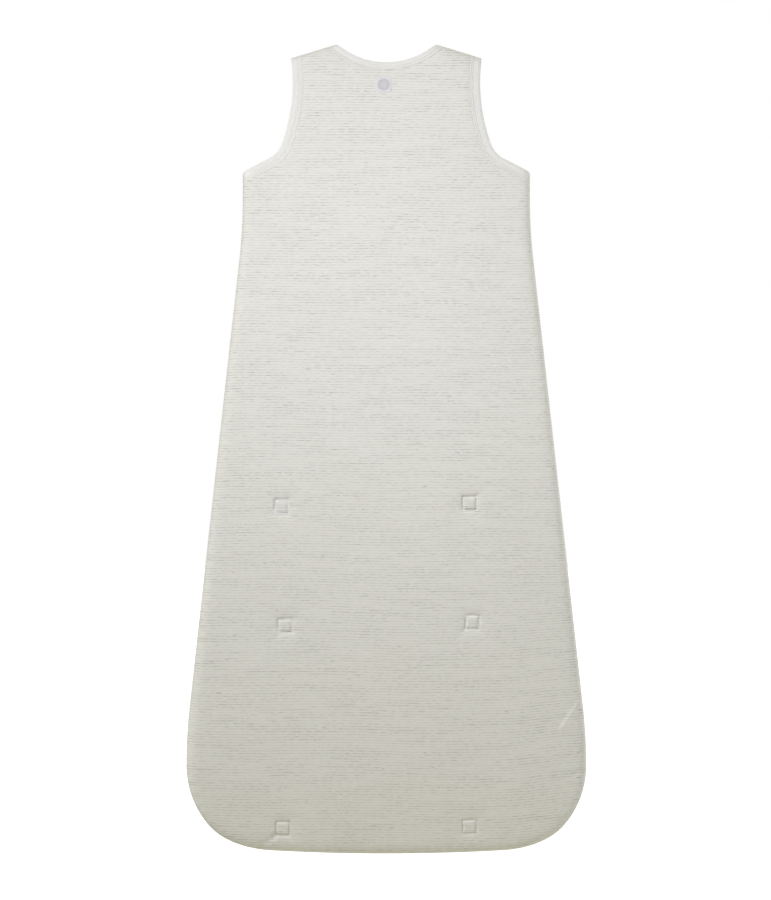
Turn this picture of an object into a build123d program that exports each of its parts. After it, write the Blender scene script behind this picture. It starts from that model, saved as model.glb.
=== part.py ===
"""A sleeveless, wadded baby sleeping bag with a centre front zip, hanging from its shoulders.

Millimetres, +Z up, back towards -Y, zipped front towards +Y. The origin is between the two neck
points, on the shoulder seams, so the whole bag hangs below it.
Each panel is outer jersey, wadding and lining. The layers are cut from nested closed forms: each
form is the bag's outside, moved inward by an inset.
"""

import os
from math import atan, cos, degrees, radians, sin, tan

from build123d import *

os.makedirs("parts", exist_ok=True)

# The bag's outline, seen from the back
LENGTH = 900.0  # neck points to hem
NECK_X = 57.0  # half the neck opening's width
BACK_NECK_DROP = 21.5
FRONT_NECK_DROP = 62.0
SHOULDER_SLOPE = 0.286  # fall of the shoulder seam for each millimetre out
SHOULDER_TOP_X = 60.0  # the seam is level with the origin here
CHEST_X = 160.0  # half the width across the chest
ARMPIT_Z = -143.0
FLARE_START_Z = -170.9
FLARE = 6.35  # degrees that the sides lean out
FLARE_ROUND = 600.0  # radius where the sides begin and end their lean
FLANK = 501.8  # straight length of each side
CORNER_ROUND = (100.0, 70.0, 120.0)  # the hem corner's radii, from the side to the hem
CORNER_TURN = (40.0, 25.0, 21.7)  # degrees that each of them turns

# Depth from front to back
TOP_DEPTH = 15.0  # half the depth at the neck points
HEM_DEPTH = 25.0  # half the depth at the hem
SEAM_ROUND = 14.0  # rounding of the outside along the side seams and hem

# Insets from the outside at which one layer ends and the next begins
JERSEY_IN = 1.0
WADDING_IN = 9.0
LINING_IN = 10.0
BINDING = 1.2  # thickness of the binding on each face
LAYERS = {"outer": (0.0, JERSEY_IN), "wadding": (JERSEY_IN, WADDING_IN), "lining": (WADDING_IN, LINING_IN)}

# Bindings
NECK_BAND = 8.0  # how far the neck binding reaches over the panel
ARM_BAND = 11.0
ARM_RUN = (30.0, 15.0)  # the armhole's straight start at the armpit, inward and up
ARM_ROUND = (30.0, 200.0, 200.0)  # its radii from there to the shoulder
ARM_TURN = (43.4, 20.0, 10.6)  # and their turns in degrees

# Fold lines of the two front flaps, in the front face: x across, s down from the neck points
FOLD_TOP = (50.0, 34.0)
FOLD_END = (15.0, 770.0)
FOLD_GAP = 0.3  # half the gap along a fold

# Zip, in the front face, with z out of the face
PANEL_EDGE = 7.0  # the jersey stops this far from the centre
BINDING_EDGE = 3.5
SLOT_END_S = 803.0
TAPE_OUT = 14.0
TAPE_S = (66.0, 806.0)
TAPE_Z = (-2.0, -JERSEY_IN)
COIL = (0.45, 3.0)  # inner and outer edge of each coil
COIL_Z = (-2.9, -0.1)
COIL_BEVEL = (0.6, 1.5)  # cut from its inner back corner, so the two coils clear each other as the flaps turn
COIL_END_S = 798.0
STOP_IN = 0.7  # inner edge of each top stop
STOP_Z = (-3.2, 0.2)
STOP_LENGTH = 3.0
SLIDER_S = 82.0  # the slider's centre when the zip is closed
SLIDER = (4.5, 7.0)  # half the slider's width and length
PLATE = 1.2
CLEAR = 0.4  # between the slider and the chain
RAIL_IN = 3.6  # the slider's rails start this far from the centre
POST = (1.2, -6.5, -2.0)  # half the width of the wedge, and its ends from the slider's centre
COIL_WAIST = 1.7  # inner edge of a coil where it passes the wedge
COIL_SPACE = 1.0  # between the slider and the top stops, and below the wedge

# Pull tab, which hangs on a bar through the slider's bridge
PIVOT_Z = 3.1
BAR_R = 0.9
BRIDGE = (1.0, 4.5, 5.0)  # half its width, half its length and its top
BRIDGE_HOLE_R = 1.2
TAB = (3.5, 28.0, 1.4)  # half its width, its reach below the bar and its thickness
TAB_ARM = (1.4, 6.0)  # inner face of each arm, and how far down the arms reach
EYE_R = 1.5
EYE_DROP = 24.0  # the eye's centre below the bar

# Labels and tacks, placed by x across and s down
PATCH = (18.0, 18.0, 0.6)
PATCH_AT = (-3.0, 46.0)
SIZE_LABEL = (25.0, 14.0, 0.4)
SIZE_LABEL_AT = (0.0, 40.0)
CARE_LABEL = (30.0, 50.0, 0.5)
CARE_LABEL_AT = (-150.0, 560.0)
LABEL_ROUND = 2.0
TACK = 15.0
TACK_THREAD = (0.8, 0.5)  # width and height of the line of stitches
TACKS = [(-116.0, 513.5), (92.0, 509.5), (-112.0, 645.0), (95.0, 641.0), (-114.5, 869.0), (92.0, 867.0)]

FAR = 400.0  # longer than the bag is deep or half as wide
BEYOND = 60.0  # how far a cutter runs past the neck points

SLANT = atan((HEM_DEPTH - TOP_DEPTH) / LENGTH)
FRONT = Plane(origin=(0, TOP_DEPTH, 0), x_dir=(1, 0, 0), z_dir=(0, cos(SLANT), sin(SLANT)))  # its y runs down
BACK = Plane(origin=(0, -TOP_DEPTH, 0), x_dir=(1, 0, 0), z_dir=(0, -cos(SLANT), sin(SLANT)))  # its y runs up


def shoulder_z(x):
    """Height of the shoulder seam's line, which runs on over the neck as a roof."""
    return (SHOULDER_TOP_X - x) * SHOULDER_SLOPE


def fold_x(s):
    """How far the fold line is from the zip at s."""
    share = (s - FOLD_TOP[1]) / (FOLD_END[1] - FOLD_TOP[1])
    return FOLD_TOP[0] + share * (FOLD_END[0] - FOLD_TOP[0])


def closed_form(inset):
    """The bag's outside as one closed solid, moved inward by inset."""
    skin = inset / cos(SLANT)
    upper_y = TOP_DEPTH - BEYOND * tan(SLANT) - skin
    lower_y = TOP_DEPTH + (LENGTH + BEYOND) * tan(SLANT) - skin
    with BuildPart() as form:
        with BuildSketch(Plane.XZ):
            with BuildLine():
                Line((0, shoulder_z(0)), (CHEST_X, shoulder_z(CHEST_X)))
                chest = Line((CHEST_X, shoulder_z(CHEST_X)), (CHEST_X, FLARE_START_Z))
                waist = JernArc(chest @ 1, chest % 1, FLARE_ROUND, FLARE)
                flank = Line(waist @ 1, waist @ 1 + (waist % 1) * FLANK)
                corner = JernArc(flank @ 1, flank % 1, FLARE_ROUND, -FLARE)
                for radius, turn in zip(CORNER_ROUND, CORNER_TURN):
                    corner = JernArc(corner @ 1, corner % 1, radius, -turn)
                mirror(about=Plane.YZ)
                heel = corner @ 1
                hem_rise = heel.X * tan(radians(90 - sum(CORNER_TURN)) / 2)
                ThreePointArc(heel, (0, heel.Y - hem_rise), (-heel.X, heel.Y))
            make_face()
            offset(amount=-inset, kind=Kind.INTERSECTION, mode=Mode.REPLACE)
        extrude(amount=FAR, both=True)
        with BuildSketch(Plane.YZ):
            with BuildLine():
                Polyline(
                    (-upper_y, BEYOND),
                    (upper_y, BEYOND),
                    (lower_y, -LENGTH - BEYOND),
                    (-lower_y, -LENGTH - BEYOND),
                    close=True,
                )
            make_face()
        extrude(amount=FAR, both=True, mode=Mode.INTERSECT)
        faces = form.faces().sort_by(Axis.Y)
        rims = [edge for face in (faces[0], faces[-1]) for edge in face.edges()]
        fillet([edge for edge in rims if edge.center().Z < shoulder_z(CHEST_X)], SEAM_ROUND - inset)
    return form.part


def neck_area(drop, grow=0.0):
    """The neck opening in the XZ plane, reaching down by drop and widened by grow."""
    with BuildSketch(Plane.XZ) as area:
        with BuildLine():
            side = (NECK_X, shoulder_z(NECK_X))
            ThreePointArc((-side[0], side[1]), (0, -drop), side)
            Polyline(side, (NECK_X, BEYOND), (-NECK_X, BEYOND), (-side[0], side[1]))
        make_face()
        if grow:
            offset(amount=grow, kind=Kind.INTERSECTION, mode=Mode.REPLACE)
    return area.sketch


def arm_area(side, grow=0.0):
    """The armhole in the XZ plane, side 1 towards +X and -1 towards -X, widened by grow."""
    run_x, run_z = ARM_RUN
    outside = (CHEST_X + 2 * run_x, ARMPIT_Z - 2 * run_z)
    with BuildSketch(Plane.XZ) as area:
        with BuildLine():
            arc = Line(outside, (CHEST_X - run_x, ARMPIT_Z + run_z))
            for radius, turn in zip(ARM_ROUND, ARM_TURN):
                arc = JernArc(arc @ 1, arc % 1, radius, -turn)
            tip = arc @ 1
            Polyline(tip, tip + (arc % 1) * BEYOND, (outside[0], BEYOND), outside)
        make_face()
        if grow:
            offset(amount=grow, kind=Kind.INTERSECTION, mode=Mode.REPLACE)
        if side < 0:
            mirror(about=Plane.YZ, mode=Mode.REPLACE)
    return area.sketch


def flap_area(gap):
    """The +X flap in the front face, from the centre to the fold line, widened by gap."""
    top, end = -BEYOND, FOLD_END[1] + gap
    with BuildSketch(FRONT) as area:
        with BuildLine():
            Polyline((0, top), (fold_x(top) + gap, top), (fold_x(end) + gap, end), (0, end), close=True)
        make_face()
    return area.sketch


def slab(x, s, z, mode=Mode.ADD):
    """A block laid along the front face, in the part that is being built."""
    with BuildSketch(FRONT.offset(z[0])) as face:
        with Locations(((x[0] + x[1]) / 2, (s[0] + s[1]) / 2)):
            Rectangle(x[1] - x[0], s[1] - s[0])
    extrude(face.sketch, amount=z[1] - z[0], mode=mode)


def cut_arms():
    """Cuts both armholes from the part that is being built."""
    for side in (1, -1):
        extrude(arm_area(side), amount=FAR, both=True, mode=Mode.SUBTRACT)


def keep(piece, name):
    """Labels a finished piece and writes it."""
    piece.part.label = name
    export_step(piece.part, f"parts/{name}.step")


def keep_pair(piece, name):
    """Writes a +X piece and its mirror image on the -X side."""
    keep(piece, "right_" + name)
    with BuildPart() as other:
        mirror(piece.part, about=Plane.YZ)
    keep(other, "left_" + name)


FORM = {inset: closed_form(inset) for inset in (-BINDING, 0.0, JERSEY_IN, WADDING_IN, LINING_IN)}
HOLLOW = closed_form(LINING_IN + BINDING)
FLAP = flap_area(-FOLD_GAP)
FLAP_AND_GAP = flap_area(FOLD_GAP)
SLOT_Z = (-HEM_DEPTH, TOP_DEPTH)


# Back, front and flap panels, one layer at a time
for layer, (outside, inside) in LAYERS.items():
    with BuildPart() as back_panel:
        add(FORM[outside])
        add(FORM[inside], mode=Mode.SUBTRACT)
        cut_arms()
        split(bisect_by=Plane.XZ, keep=Keep.TOP)
        extrude(neck_area(BACK_NECK_DROP), amount=FAR, both=True, mode=Mode.SUBTRACT)
    keep(back_panel, "back_" + layer)

    with BuildPart() as front_half:
        add(FORM[outside])
        add(FORM[inside], mode=Mode.SUBTRACT)
        cut_arms()
        split(bisect_by=Plane.XZ, keep=Keep.BOTTOM)
        split(bisect_by=Plane.YZ, keep=Keep.TOP)
        extrude(neck_area(FRONT_NECK_DROP), amount=FAR, both=True, mode=Mode.SUBTRACT)
        slab((0, PANEL_EDGE), (-BEYOND, SLOT_END_S), SLOT_Z, Mode.SUBTRACT)
        slab((0, TAPE_OUT), TAPE_S, TAPE_Z, Mode.SUBTRACT)

    with BuildPart() as front_side:
        add(front_half.part)
        extrude(FLAP_AND_GAP, amount=BEYOND, both=True, mode=Mode.SUBTRACT)
    keep_pair(front_side, "front_" + layer)

    with BuildPart() as front_flap:
        add(front_half.part)
        extrude(FLAP, amount=BEYOND, both=True, mode=Mode.INTERSECT)
    keep_pair(front_flap, "flap_" + layer)


# Bindings fold over the panels' raw edges, outside and inside
with BuildPart() as right_armhole_binding:
    add(FORM[-BINDING])
    extrude(arm_area(1, ARM_BAND), amount=FAR, both=True, mode=Mode.INTERSECT)
    extrude(arm_area(1, -BINDING), amount=FAR, both=True, mode=Mode.SUBTRACT)
    add(HOLLOW, mode=Mode.SUBTRACT)
with BuildPart() as arm_edge:
    add(FORM[0.0])
    add(FORM[LINING_IN], mode=Mode.SUBTRACT)
    cut_arms()
with BuildPart() as right_arm_band:
    add(right_armhole_binding.part)
    add(arm_edge.part, mode=Mode.SUBTRACT)
keep_pair(right_arm_band, "armhole_binding")

neck_halves = {}
for half, drop, kept in (("back", BACK_NECK_DROP, Keep.TOP), ("front", FRONT_NECK_DROP, Keep.BOTTOM)):
    with BuildPart() as neck_edge:
        add(FORM[0.0])
        add(FORM[LINING_IN], mode=Mode.SUBTRACT)
        extrude(neck_area(drop), amount=FAR, both=True, mode=Mode.SUBTRACT)
    with BuildPart() as neck_band:
        add(FORM[-BINDING])
        extrude(neck_area(drop, NECK_BAND), amount=FAR, both=True, mode=Mode.INTERSECT)
        extrude(neck_area(drop, -BINDING), amount=FAR, both=True, mode=Mode.SUBTRACT)
        add(HOLLOW, mode=Mode.SUBTRACT)
        add(neck_edge.part, mode=Mode.SUBTRACT)
        split(bisect_by=Plane.XZ, keep=kept)
    neck_halves[half] = neck_band.part

with BuildPart() as front_neck_side:
    add(neck_halves["front"])
    split(bisect_by=Plane.YZ, keep=Keep.TOP)
    extrude(FLAP_AND_GAP, amount=BEYOND, both=True, mode=Mode.SUBTRACT)
with BuildPart() as neck_binding:
    add(neck_halves["back"])
    add(front_neck_side.part)
    mirror(front_neck_side.part, about=Plane.YZ)
keep(neck_binding, "neck_binding")
with BuildPart() as flap_neck_binding:
    add(neck_halves["front"])
    extrude(FLAP, amount=BEYOND, both=True, mode=Mode.INTERSECT)
    slab((0, BINDING_EDGE), (-BEYOND, SLOT_END_S), SLOT_Z, Mode.SUBTRACT)
keep_pair(flap_neck_binding, "flap_neck_binding")


# Zip tapes and coils: each is cut where its flap ends
def keep_zip_strip(strip, name):
    """Writes the two flap lengths of a strip, and its two ends below the flaps as one node."""
    with BuildPart() as on_flap:
        add(strip.part)
        extrude(FLAP, amount=BEYOND, both=True, mode=Mode.INTERSECT)
    keep_pair(on_flap, name)
    with BuildPart() as end:
        add(strip.part)
        extrude(FLAP_AND_GAP, amount=BEYOND, both=True, mode=Mode.SUBTRACT)
    with BuildPart() as ends:
        add(end.part)
        mirror(end.part, about=Plane.YZ)
    keep(ends, name + "_ends")


with BuildPart() as zip_tape:
    slab((COIL[1], TAPE_OUT), TAPE_S, TAPE_Z)
keep_zip_strip(zip_tape, "zip_tape")

coil_top = SLIDER_S - SLIDER[1] - COIL_SPACE
waist_end = SLIDER_S + POST[2] + COIL_SPACE
coil_start = Plane(FRONT.from_local_coords((0, coil_top, 0)), x_dir=FRONT.x_dir, z_dir=FRONT.y_dir)  # y goes in
with BuildPart() as zip_coil:
    with BuildSketch(coil_start):
        with BuildLine():
            Polyline(
                (COIL[0], -COIL_Z[1]),
                (COIL[1], -COIL_Z[1]),
                (COIL[1], -COIL_Z[0]),
                (COIL[0] + COIL_BEVEL[0], -COIL_Z[0]),
                (COIL[0], -COIL_Z[0] - COIL_BEVEL[1]),
                close=True,
            )
        make_face()
    extrude(amount=COIL_END_S - coil_top)
    slab((0, COIL_WAIST), (coil_top, waist_end), COIL_Z, Mode.SUBTRACT)
keep_zip_strip(zip_coil, "zip_coil")

with BuildPart() as zip_top_stop:
    slab((STOP_IN, COIL[1]), (coil_top - STOP_LENGTH, coil_top), STOP_Z)
keep_pair(zip_top_stop, "zip_top_stop")

with BuildPart() as zip_bottom_stop:
    slab((-COIL[1], COIL[1]), (COIL_END_S, COIL_END_S + STOP_LENGTH), STOP_Z)
keep(zip_bottom_stop, "zip_bottom_stop")


# Slider: two plates with inward rails, joined by a wedge, and a bridge for the pull tab
top_z = (COIL_Z[1] + CLEAR, COIL_Z[1] + CLEAR + PLATE)
under_z = (COIL_Z[0] - CLEAR - PLATE, COIL_Z[0] - CLEAR)
slider_s = (SLIDER_S - SLIDER[1], SLIDER_S + SLIDER[1])
with BuildPart() as zip_slider:
    slab((-SLIDER[0], SLIDER[0]), slider_s, top_z)
    slab((-SLIDER[0], SLIDER[0]), slider_s, under_z)
    corners = zip_slider.edges().filter_by(Axis((0, 0, 0), FRONT.z_dir))
    fillet(corners, RAIL_IN / 2)
    rail_s = (slider_s[0] + RAIL_IN, slider_s[1] - RAIL_IN / 2)
    for rail_x in ((RAIL_IN, SLIDER[0]), (-SLIDER[0], -RAIL_IN)):
        slab(rail_x, rail_s, (TAPE_Z[1] + CLEAR, top_z[0]))
        slab(rail_x, rail_s, (under_z[1], TAPE_Z[0] - CLEAR))
    slab((-POST[0], POST[0]), (SLIDER_S + POST[1], SLIDER_S + POST[2]), (under_z[1], top_z[0]))
    slab((-BRIDGE[0], BRIDGE[0]), (SLIDER_S - BRIDGE[1], SLIDER_S + BRIDGE[1]), (top_z[1], BRIDGE[2]))
    crown = zip_slider.faces().sort_by(Axis.Y)[-1].edges().filter_by(Axis.X)
    fillet(crown, BRIDGE[0])
    pivot = FRONT.from_local_coords((0, SLIDER_S, PIVOT_Z))
    with Locations(Location(pivot, (0, 90, 0))):
        Cylinder(BRIDGE_HOLE_R, 2 * SLIDER[0], mode=Mode.SUBTRACT)
keep(zip_slider, "zip_slider")

with BuildPart() as pull_tab:
    with BuildSketch(FRONT.offset(PIVOT_Z - TAB[2] / 2)):
        with Locations((0, SLIDER_S + TAB[1] / 2)):
            RectangleRounded(2 * TAB[0], TAB[1], TAB[0] - EYE_R)
        with Locations((0, SLIDER_S + EYE_DROP)):
            Circle(EYE_R, mode=Mode.SUBTRACT)
        with Locations((0, SLIDER_S)):
            Rectangle(2 * TAB_ARM[0], 2 * TAB_ARM[1], mode=Mode.SUBTRACT)
    extrude(amount=TAB[2])
    with Locations(Location(pivot, (0, 90, 0))):
        Cylinder(BAR_R, 2 * TAB[0] - 1)
keep(pull_tab, "zip_pull_tab")


# Labels, all blank
with BuildPart() as neck_patch:
    with BuildSketch(BACK):
        with Locations((PATCH_AT[0], -PATCH_AT[1])):
            RectangleRounded(PATCH[0], PATCH[1], LABEL_ROUND)
    extrude(amount=PATCH[2])
keep(neck_patch, "back_neck_patch")

for name, size, place in (
    ("size_label", SIZE_LABEL, SIZE_LABEL_AT),
    ("care_label", CARE_LABEL, CARE_LABEL_AT),
):
    with BuildPart() as inner_label:
        with BuildSketch(BACK.offset(-LINING_IN)):
            with Locations((place[0], -place[1])):
                RectangleRounded(size[0], size[1], LABEL_ROUND)
        extrude(amount=-size[2])
    keep(inner_label, name)


# Square tacks that hold the layers together, on the back and on the front
for name, face, down in (("back_tacks", BACK, -1), ("front_tacks", FRONT, 1)):
    with BuildPart() as tacks:
        with BuildSketch(face):
            with Locations([(x, down * s) for x, s in TACKS]):
                Rectangle(TACK, TACK)
                Rectangle(TACK - 2 * TACK_THREAD[0], TACK - 2 * TACK_THREAD[0], mode=Mode.SUBTRACT)
        extrude(amount=TACK_THREAD[1])
    keep(tacks, name)
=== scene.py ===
"""Looks of a wadded baby sleeping bag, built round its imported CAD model.

The mesh code works in millimetres: x across, z up from the neck points, and depth, which is how far a
point lies from the bag's middle plane. The back is at y = -depth and the zipped front at y = +depth.
"""

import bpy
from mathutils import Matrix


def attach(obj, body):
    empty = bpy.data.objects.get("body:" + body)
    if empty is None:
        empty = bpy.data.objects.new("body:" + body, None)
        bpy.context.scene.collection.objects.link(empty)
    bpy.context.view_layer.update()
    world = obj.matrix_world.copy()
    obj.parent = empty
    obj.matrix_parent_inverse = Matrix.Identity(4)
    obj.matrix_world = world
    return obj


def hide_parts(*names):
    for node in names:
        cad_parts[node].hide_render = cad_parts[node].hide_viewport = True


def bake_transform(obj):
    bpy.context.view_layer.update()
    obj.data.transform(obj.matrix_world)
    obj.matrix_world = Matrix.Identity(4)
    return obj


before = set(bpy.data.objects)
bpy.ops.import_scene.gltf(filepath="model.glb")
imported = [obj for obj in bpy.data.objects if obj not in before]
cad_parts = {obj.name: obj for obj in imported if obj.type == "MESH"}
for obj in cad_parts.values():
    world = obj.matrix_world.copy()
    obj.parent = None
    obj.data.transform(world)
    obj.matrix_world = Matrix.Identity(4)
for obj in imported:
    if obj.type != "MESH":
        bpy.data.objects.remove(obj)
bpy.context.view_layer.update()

from math import atan, ceil, cos, hypot, pi, radians, sin

import bpy
import numpy as np
from mathutils import Vector
from mathutils.geometry import delaunay_2d_cdt

MM = 0.001

# The outline, as in the CAD model
LENGTH = 900.0
NECK_X = 57.0
NECK_DROP = {"back": 21.5, "front": 62.0}
SHOULDER_SLOPE = 0.286
SHOULDER_TOP_X = 60.0
ARMPIT = (160.0, -143.0)
SIDE_MOVES = (  # from the armpit down: a straight run, (length, None), or an arc, (radius, turn in degrees)
    (27.9, None),
    (600, 6.35),
    (501.8, None),
    (600, -6.35),
    (100, -40),
    (70, -25),
    (120, -21.7),
)
HEM_TURN = 3.3  # degrees that the hem curves down from its corner to the centre
ARM_MOVES = ((33.541, None), (30, -43.4), (200, -20), (200, -10.6), (20, None))  # from the armpit up
ARM_HEADING = 153.435  # the way that the armhole leaves the armpit
TOP_DEPTH = 15.0
HEM_DEPTH = 25.0
SLANT = atan((HEM_DEPTH - TOP_DEPTH) / LENGTH)
PANEL_EDGE = 7.0
SLOT_END = 803.0
SEAM_X = 0.15  # where the two front covers meet, below the zip
ZIP_GAP = 3.5  # from the centre to the end of a front neck band
ARM_BAND = 11.0
NECK_BAND = 8.0
TACKS = (  # x, s, tilt in degrees and strength
    (-116.0, 513.5, -1.5, 1.0),
    (92.0, 509.5, 1.0, 1.0),
    (-112.0, 645.0, 2.5, 1.0),
    (95.0, 641.0, -2.0, 1.0),
    (-114.5, 869.0, 0.5, 0.9),
    (92.0, 867.0, 1.5, 0.7),
)
TACK_HALF = 7.6

# The front flaps fold along a band of cloth: x across, s down the front face
FOLD_START = (57.0, 34.0)
FOLD_END = (0.0, 768.0)
FOLD_GRID = (-4.4, 27.0, 2.2)  # the mesh's columns of points across the fold: first, last and spacing

# Padding
PAD = 5.0  # half the thickness of a panel
SEAM_LIP = 0.5  # flat strip at the side and shoulder seams
SIDE_ROUND = (13.0, 17.0)  # how far in from the side seams the bag is round, at the top and at the hem
SHOULDER_ROUND = 20.0
ARM_PRESS = 17.0  # how far in from its edge a binding presses the panel down
NECK_PRESS = 15.0
ZIP_PRESS = 15.0  # how far out from its opening the zip does
SEAM_PRESS = 10.0  # and the seam below it
PUCKER_PITCH = 12.5  # along the side seams
TACK_DEPTH = 0.76  # how much of its thickness the panel loses at a tack
WAVE = 0.9  # height of the panel's loose waves
EDGE_SLIM = 0.32  # how much of its depth the bag loses towards the side seams and hem
EDGE_REACH = 95.0  # and how far in from them that starts
CREASES = (  # from x, z to x, z, then depth, negative for a ridge, and how wide it is to its left and right
    ((194.0, -757.0), (216.0, -724.0), -1.9, 2.0, 9.0),
    ((209.0, -809.0), (221.0, -800.0), 1.5, 2.6, 2.6),
    ((-149.0, -893.0), (-122.0, -877.0), 1.9, 3.4, 3.4),
)
CREASE_GRID = (-7.0, 12.0, 1.4)  # the mesh's columns of points across a crease: first, last and spacing


def smooth(t):
    t = np.clip(t, 0, 1)
    return t * t * (3 - 2 * t)


def near(distance, reach):
    """1 at the edge, falling smoothly to 0 at reach."""
    return 1 - smooth(distance / reach)


def pillow(distance, radius):
    """A full round edge: 0 at the seam, 1 from radius on."""
    return np.maximum(1 - (1 - np.clip(distance / radius, 0, 1)) ** 2.8, 0) ** (1 / 2.8)


def walk(start, heading, moves, step=2.0):
    """Points along straight runs, (length, None), and arcs, (radius, turn)."""
    points, heading = [np.array(start, float)], radians(heading)
    for size, turn in moves:
        length = size if turn is None else size * abs(radians(turn))
        count = ceil(length / step)
        bend = 0.0 if turn is None else radians(turn) / count
        stride = length / count if turn is None else 2 * size * sin(abs(bend) / 2)
        for _ in range(count):
            middle = heading + bend / 2
            points.append(points[-1] + stride * np.array((cos(middle), sin(middle))))
            heading += bend
    return np.array(points)


def neck_curve(drop):
    """The neck's edge from the centre to the neck point."""
    side_z = (SHOULDER_TOP_X - NECK_X) * SHOULDER_SLOPE
    rise = side_z + drop
    radius = (NECK_X**2 + rise**2) / (2 * rise)
    span = np.arcsin(NECK_X / radius) if rise < radius else pi - np.arcsin(NECK_X / radius)
    angle = np.linspace(0, span, 60)
    return np.stack([radius * np.sin(angle), -drop + radius * (1 - np.cos(angle))], 1)


def lengths(line):
    return np.concatenate([[0], np.cumsum(np.linalg.norm(np.diff(line, axis=0), axis=1))])


def at(line, where):
    """The points at these distances along a line."""
    run = lengths(line)
    return np.stack([np.interp(where, run, line[:, k]) for k in range(line.shape[1])], 1)


def spaced(line, step):
    run = lengths(line)[-1]
    return at(line, np.linspace(0, run, max(2, ceil(run / step) + 1)))


def distance_to(points, line):
    """Each point's distance to a line, and how far along the line it is nearest."""
    run = lengths(line)
    a, edge = line[:-1], np.diff(line, axis=0)
    size = np.maximum((edge**2).sum(1), 1e-12)
    best, along = np.full(len(points), 1e9), np.zeros(len(points))
    for i in range(len(edge)):
        t = np.clip((points - a[i]) @ edge[i] / size[i], 0, 1)
        d = np.linalg.norm(points - a[i] - t[:, None] * edge[i], axis=1)
        closer = d < best
        best[closer] = d[closer]
        along[closer] = run[i] + t[closer] * size[i] ** 0.5
    return best, along


def beside(points, start, end):
    """A line's length, and for each point how far it is along the line and to the line's right."""
    ahead = np.array(end) - start
    run = np.linalg.norm(ahead)
    ahead = ahead / run
    return run, (points - start) @ ahead, (points - start) @ np.array((ahead[1], -ahead[0]))


SIDE = walk(ARMPIT, -90, SIDE_MOVES)
hem_round = SIDE[-1][0] / sin(radians(HEM_TURN))
SIDE = np.vstack([SIDE[:-1], walk(SIDE[-1], HEM_TURN - 180, ((hem_round, -HEM_TURN),))])
SIDE[-1, 0] = 0
arm = walk(ARMPIT, ARM_HEADING, ARM_MOVES, 1.0)
arm = arm[arm[:, 1] <= (SHOULDER_TOP_X - arm[:, 0]) * SHOULDER_SLOPE]
ARM = arm[::-1]  # from the shoulder tip to the armpit
NECK = {face: neck_curve(drop) for face, drop in NECK_DROP.items()}
SHOULDER = np.stack([NECK["back"][-1], ARM[0]])
COARSE = {"side": spaced(SIDE, 5), "arm": spaced(ARM, 5), "shoulder": SHOULDER}


def tack_axes(tilt):
    return np.array([(cos(radians(tilt)), sin(radians(tilt))), (-sin(radians(tilt)), cos(radians(tilt)))])


def tack_pull(p):
    """How strongly the tacks draw the panel together at each point: 1 in the stitched groove."""
    pull = np.zeros(len(p))
    for k, (x, s, tilt, strength) in enumerate(TACKS):
        u, v = ((p - (x, -s)) @ tack_axes(tilt).T).T
        q = (u**10 + v**10 + 1e-9) ** 0.1 - TACK_HALF
        turn = np.arctan2(v, u)
        ray = 1 + 0.25 * np.cos(7 * turn + 1.3 * k) * smooth(q / 5)
        outside = 0.7 * np.exp(-np.maximum(q, 0) / 4.8) * ray
        inside = 0.7 - 0.42 * smooth(-q / 3.4)
        groove = 0.22 * np.exp(-((q / 1.0) ** 2))
        pull = np.maximum(pull, strength * (np.where(q > 0, outside, inside) + groove))
    return pull


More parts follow.
